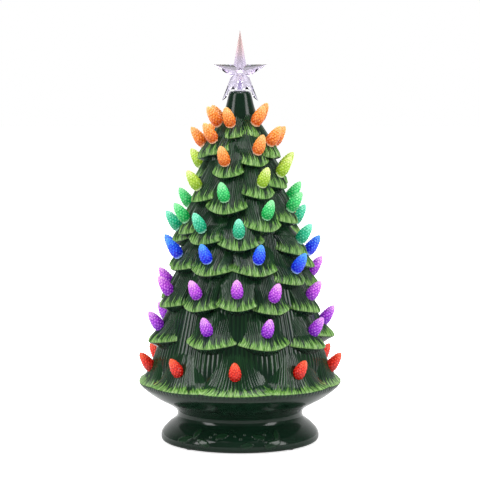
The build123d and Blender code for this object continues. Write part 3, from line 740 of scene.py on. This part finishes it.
def holly_height(along, up, foot_reach):
    """Height of the relief at a place on the foot; along and up are in millimetres."""
    height = 0.0
    for azimuth, middle, turn, length, half_width in HOLLY_LEAVES:
        dx = along - math.radians(azimuth) * foot_reach
        dy = up - middle
        cosine, sine = math.cos(math.radians(turn)), math.sin(math.radians(turn))
        lengthwise = (dx * cosine + dy * sine) / (length / 2)
        across = abs(dy * cosine - dx * sine)
        if abs(lengthwise) >= 1:
            continue
        teeth = 0.68 + 0.32 * abs(math.cos(2.5 * math.pi * lengthwise)) ** 0.7
        edge = half_width * (1 - lengthwise ** 2) ** 0.6 * teeth
        if across < edge:
            body = 1.0 - (across / edge) ** 2
            vein = 0.35 * math.exp(-(across / 0.45) ** 2)
            height = max(height, 0.35 + 0.75 * body ** 0.6 - vein)
    for azimuth, middle, radius in HOLLY_BERRIES:
        distance = math.hypot(along - math.radians(azimuth) * foot_reach, up - middle)
        if distance < radius:
            height = max(height, 1.35 * math.sqrt(1 - (distance / radius) ** 2))
    return height


def holly_relief():
    """Low relief of holly on the front of the foot, sunk into the ceramic where it is bare."""
    profile = curve_points([(73.1, 3.1), (73.6, 4.9), (72.6, 10.2), (66.9, 16.6), (60.2, 22.0),
                            (58.4, 25.5)], relief_rows + 1)
    lengths = lengths_along(profile)
    first, last, foot_reach = math.radians(-58), math.radians(40), 71.0
    bm = bmesh.new()
    named = layers(bm)
    bmesh.ops.create_grid(bm, x_segments=relief_columns, y_segments=relief_rows, size=0.5)
    for vert in bm.verts:
        azimuth = mix(first, last, vert.co.x + 0.5)
        row = min(round((vert.co.y + 0.5) * relief_rows), relief_rows)
        raised = holly_height(azimuth * foot_reach, lengths[row], foot_reach)
        before, after = profile[max(row - 1, 0)], profile[min(row + 1, relief_rows)]
        normal = Vector((after.y - before.y, before.x - after.x)).normalized()
        proud = raised - relief_sink if raised < 0.05 else raised * relief_scale
        radius, height = profile[row] + normal * proud
        vert.co = Vector((radius * math.sin(azimuth), -radius * math.cos(azimuth), height)) * MM
        vert[named["from_rim"]] = 0.05 + height * MM
        vert[named["around"]] = azimuth * glaze_radius
        vert[named["crest_and_shade"]] = min(raised, 1.0) * 0.5
    bmesh.ops.recalc_face_normals(bm, faces=bm.faces)
    if sum(face.normal.dot(face.calc_center_median() * Vector((1, 1, 0))) for face in bm.faces) < 0:
        bmesh.ops.reverse_faces(bm, faces=bm.faces)
    bmesh.ops.solidify(bm, geom=bm.faces[:], thickness=1.2 * MM)
    piece("holly_relief", bm, "tree", "green_glaze")


# ---- bulbs ---------------------------------------------------------------------------------------
def flame_radius(height):
    """Radius of the bulb's skin in millimetres."""
    if height < bulb_belly_height:
        share = height / bulb_belly_height
        return mix(bulb_foot_radius, bulb_radius, math.sin(share * math.pi / 2) ** 0.75)
    share = (height - bulb_belly_height) / (bulb_length - bulb_belly_height)
    return bulb_radius * math.sqrt(max(1 - share ** 1.75, 0.0)) * mix(1.0, 0.84, share)


def bulb_shape():
    """One bulb with its peg; rows of small bumps run round it, each row turned by half a bump."""
    rows = bulb_bump_rows * 4
    outline = [(0.0, -peg_length), (peg_radius, -peg_length), (peg_radius, -0.1),
               (bulb_foot_radius - 0.5, 0.0)]
    for index in range(rows + 1):
        height = 0.4 + (bulb_length - 0.8) * index / rows
        outline.append((max(flame_radius(height) - bulb_skin_inset, 0.2), height))
    outline.append((0.0, bulb_length - 0.2))
    bm = bmesh.new()
    along = bm.verts.layers.float.new("along")
    facet = bm.verts.layers.float.new("facet")
    spin_outline(bm, outline, bulb_bumps_round * 4)
    pitch = (bulb_length - 2.0) / bulb_bump_rows
    for vert in bm.verts:
        x, y, z = (value / MM for value in vert.co)
        radius = math.hypot(x, y)
        share = min(max(z / bulb_length, 0.0), 1.0)
        vert[along] = share
        if z < 0.5 or radius < 0.4:
            continue
        angle = math.atan2(y, x)
        row = (z - 0.6) / pitch
        turn = 0.5 * (math.floor(row) % 2)
        across = abs(math.sin(math.pi * (angle / (2 * math.pi) * bulb_bumps_round + turn)))
        up = abs(math.sin(math.pi * row))
        bump = (across * up) ** 0.7
        vert[facet] = bump
        out = (radius + bulb_bump_height * bump * min(radius / 3.0, 1.0)) / radius
        vert.co = Vector((x * out, y * out, z)) * MM
    return bm


def bulb_places(ring):
    """Seat of each bulb in a ring, with local +Z along the bulb."""
    _, _, difference, _, inward, upward, boughs = ring
    places = []
    for azimuth, rim_height in boughs:
        reach = reach_at_floor - reach_taper * rim_height + difference - inward
        seat = Matrix.Translation((reach * MM, 0, (rim_height + upward) * MM))
        places.append(around(azimuth) @ seat @ Matrix.Rotation(math.radians(bulb_tilt), 4, "Y"))
    return places


def bulb_pieces():
    """One piece for each ring of bulbs, in place of its CAD node."""
    shape = bulb_shape()
    for ring in RINGS:
        bm = bmesh.new()
        bm.verts.layers.float.new("along")
        bm.verts.layers.float.new("facet")
        for index, place in enumerate(bulb_places(ring)):
            add_copy(bm, shape, place @ Matrix.Rotation(0.7 * index, 4, "Z"))
        node = ring[0]
        piece(node + "_cast", bm, "tree", node.replace("bulbs", "lens"), replaced=(node,))
    shape.free()


trunk_and_foot()
holly_relief()
skirt()
bough_pieces()
bulb_pieces()


# ---- stage, camera and light ---------------------------------------------------------------------
def seen_rays(tree, names):
    """1 where a ray of one of these kinds looks, such as the camera's."""
    path = tree.nodes.new("ShaderNodeLightPath")
    total = path.outputs[names[0]]
    for name in names[1:]:
        either = tree.nodes.new("ShaderNodeMath")
        either.operation = "MAXIMUM"
        tree.links.new(total, either.inputs[0])
        tree.links.new(path.outputs[name], either.inputs[1])
        total = either.outputs[0]
    return total


def stage_material():
    """White card: white to the camera, pale to reflections, with the object's soft shadow."""
    material = bpy.data.materials.new("white_card")
    material.use_nodes = True
    tree = material.node_tree
    card = tree.nodes["Principled BSDF"]
    card.inputs["Base Color"].default_value = rgb(0.9, 0.9, 0.9)
    card.inputs["Roughness"].default_value = 0.9
    card.inputs["Specular IOR Level"].default_value = 0.0
    card.inputs["Emission Color"].default_value = rgb(1.0, 1.0, 1.0)
    glow = tree.nodes.new("ShaderNodeMath")
    glow.operation = "MAXIMUM"
    for socket, names, strength in ((0, ("Is Camera Ray",), 0.78),
                                    (1, ("Is Glossy Ray", "Is Transmission Ray"), 0.05)):
        scaled = tree.nodes.new("ShaderNodeMath")
        scaled.operation = "MULTIPLY"
        tree.links.new(seen_rays(tree, names), scaled.inputs[0])
        scaled.inputs[1].default_value = strength
        tree.links.new(scaled.outputs[0], glow.inputs[socket])
    tree.links.new(glow.outputs[0], card.inputs["Emission Strength"])
    return material


floor_mesh = bmesh.new()
bmesh.ops.create_grid(floor_mesh, x_segments=2, y_segments=2, size=6.0)
floor_data = bpy.data.meshes.new("floor")
floor_mesh.to_mesh(floor_data)
floor_mesh.free()
floor = bpy.data.objects.new("floor", floor_data)
floor_data.materials.append(stage_material())
bpy.context.scene.collection.objects.link(floor)

scene = bpy.context.scene
world = bpy.data.worlds.new("studio")
scene.world = world
world.use_nodes = True
world_nodes = world.node_tree
background = world_nodes.nodes["Background"]
background.inputs["Color"].default_value = rgb(1.0, 1.0, 1.0)
direction = world_nodes.nodes.new("ShaderNodeTexCoord")
split = world_nodes.nodes.new("ShaderNodeSeparateXYZ")
world_nodes.links.new(direction.outputs["Generated"], split.inputs[0])
behind = world_nodes.nodes.new("ShaderNodeMapRange")      # pale card behind, dim room in front
behind.interpolation_type = "SMOOTHSTEP"
world_nodes.links.new(split.outputs["Y"], behind.inputs["Value"])
behind.inputs["From Min"].default_value = 0.25
behind.inputs["From Max"].default_value = 0.95
behind.inputs["To Min"].default_value = 0.2
behind.inputs["To Max"].default_value = 0.85
strength = world_nodes.nodes.new("ShaderNodeMath")
strength.operation = "MAXIMUM"
seen = seen_rays(world_nodes, ("Is Camera Ray", "Is Transmission Ray"))
world_nodes.links.new(seen, strength.inputs[0])
world_nodes.links.new(behind.outputs["Result"], strength.inputs[1])
world_nodes.links.new(strength.outputs[0], background.inputs["Strength"])


def soft_box(name, place, aim, size, power):
    """Rectangular soft light at a place, turned to its aim."""
    data = bpy.data.lights.new(name, "AREA")
    data.shape = "RECTANGLE"
    data.size, data.size_y = size
    data.energy = power
    lamp = bpy.data.objects.new(name, data)
    lamp.location = place
    lamp.rotation_euler = (Vector(aim) - Vector(place)).to_track_quat("-Z", "Y").to_euler()
    scene.collection.objects.link(lamp)


soft_box("left_box", (-1.75, -1.0, 1.2), (0, 0, 0.2), (0.75, 2.0), 30.0)
soft_box("right_box", (1.75, -1.0, 1.1), (0, 0, 0.2), (0.75, 2.0), 30.0)
soft_box("top_box", (0.0, -0.4, 2.0), (0, 0, 0.2), (1.4, 1.2), 18.0)
soft_box("back_box", (0.0, 1.8, 1.2), (0, 0, 0.2), (1.6, 0.9), 14.0)

camera_data = bpy.data.cameras.new("camera")
camera_data.lens = 162.5
camera = bpy.data.objects.new("camera", camera_data)
camera.location = (0.0, -2.0, 0.39)
camera_aim = Vector((0.0, 0.0, 0.188))
camera.rotation_euler = (camera_aim - camera.location).to_track_quat("-Z", "Y").to_euler()
scene.collection.objects.link(camera)
scene.camera = camera
scene.view_settings.view_transform = "Standard"
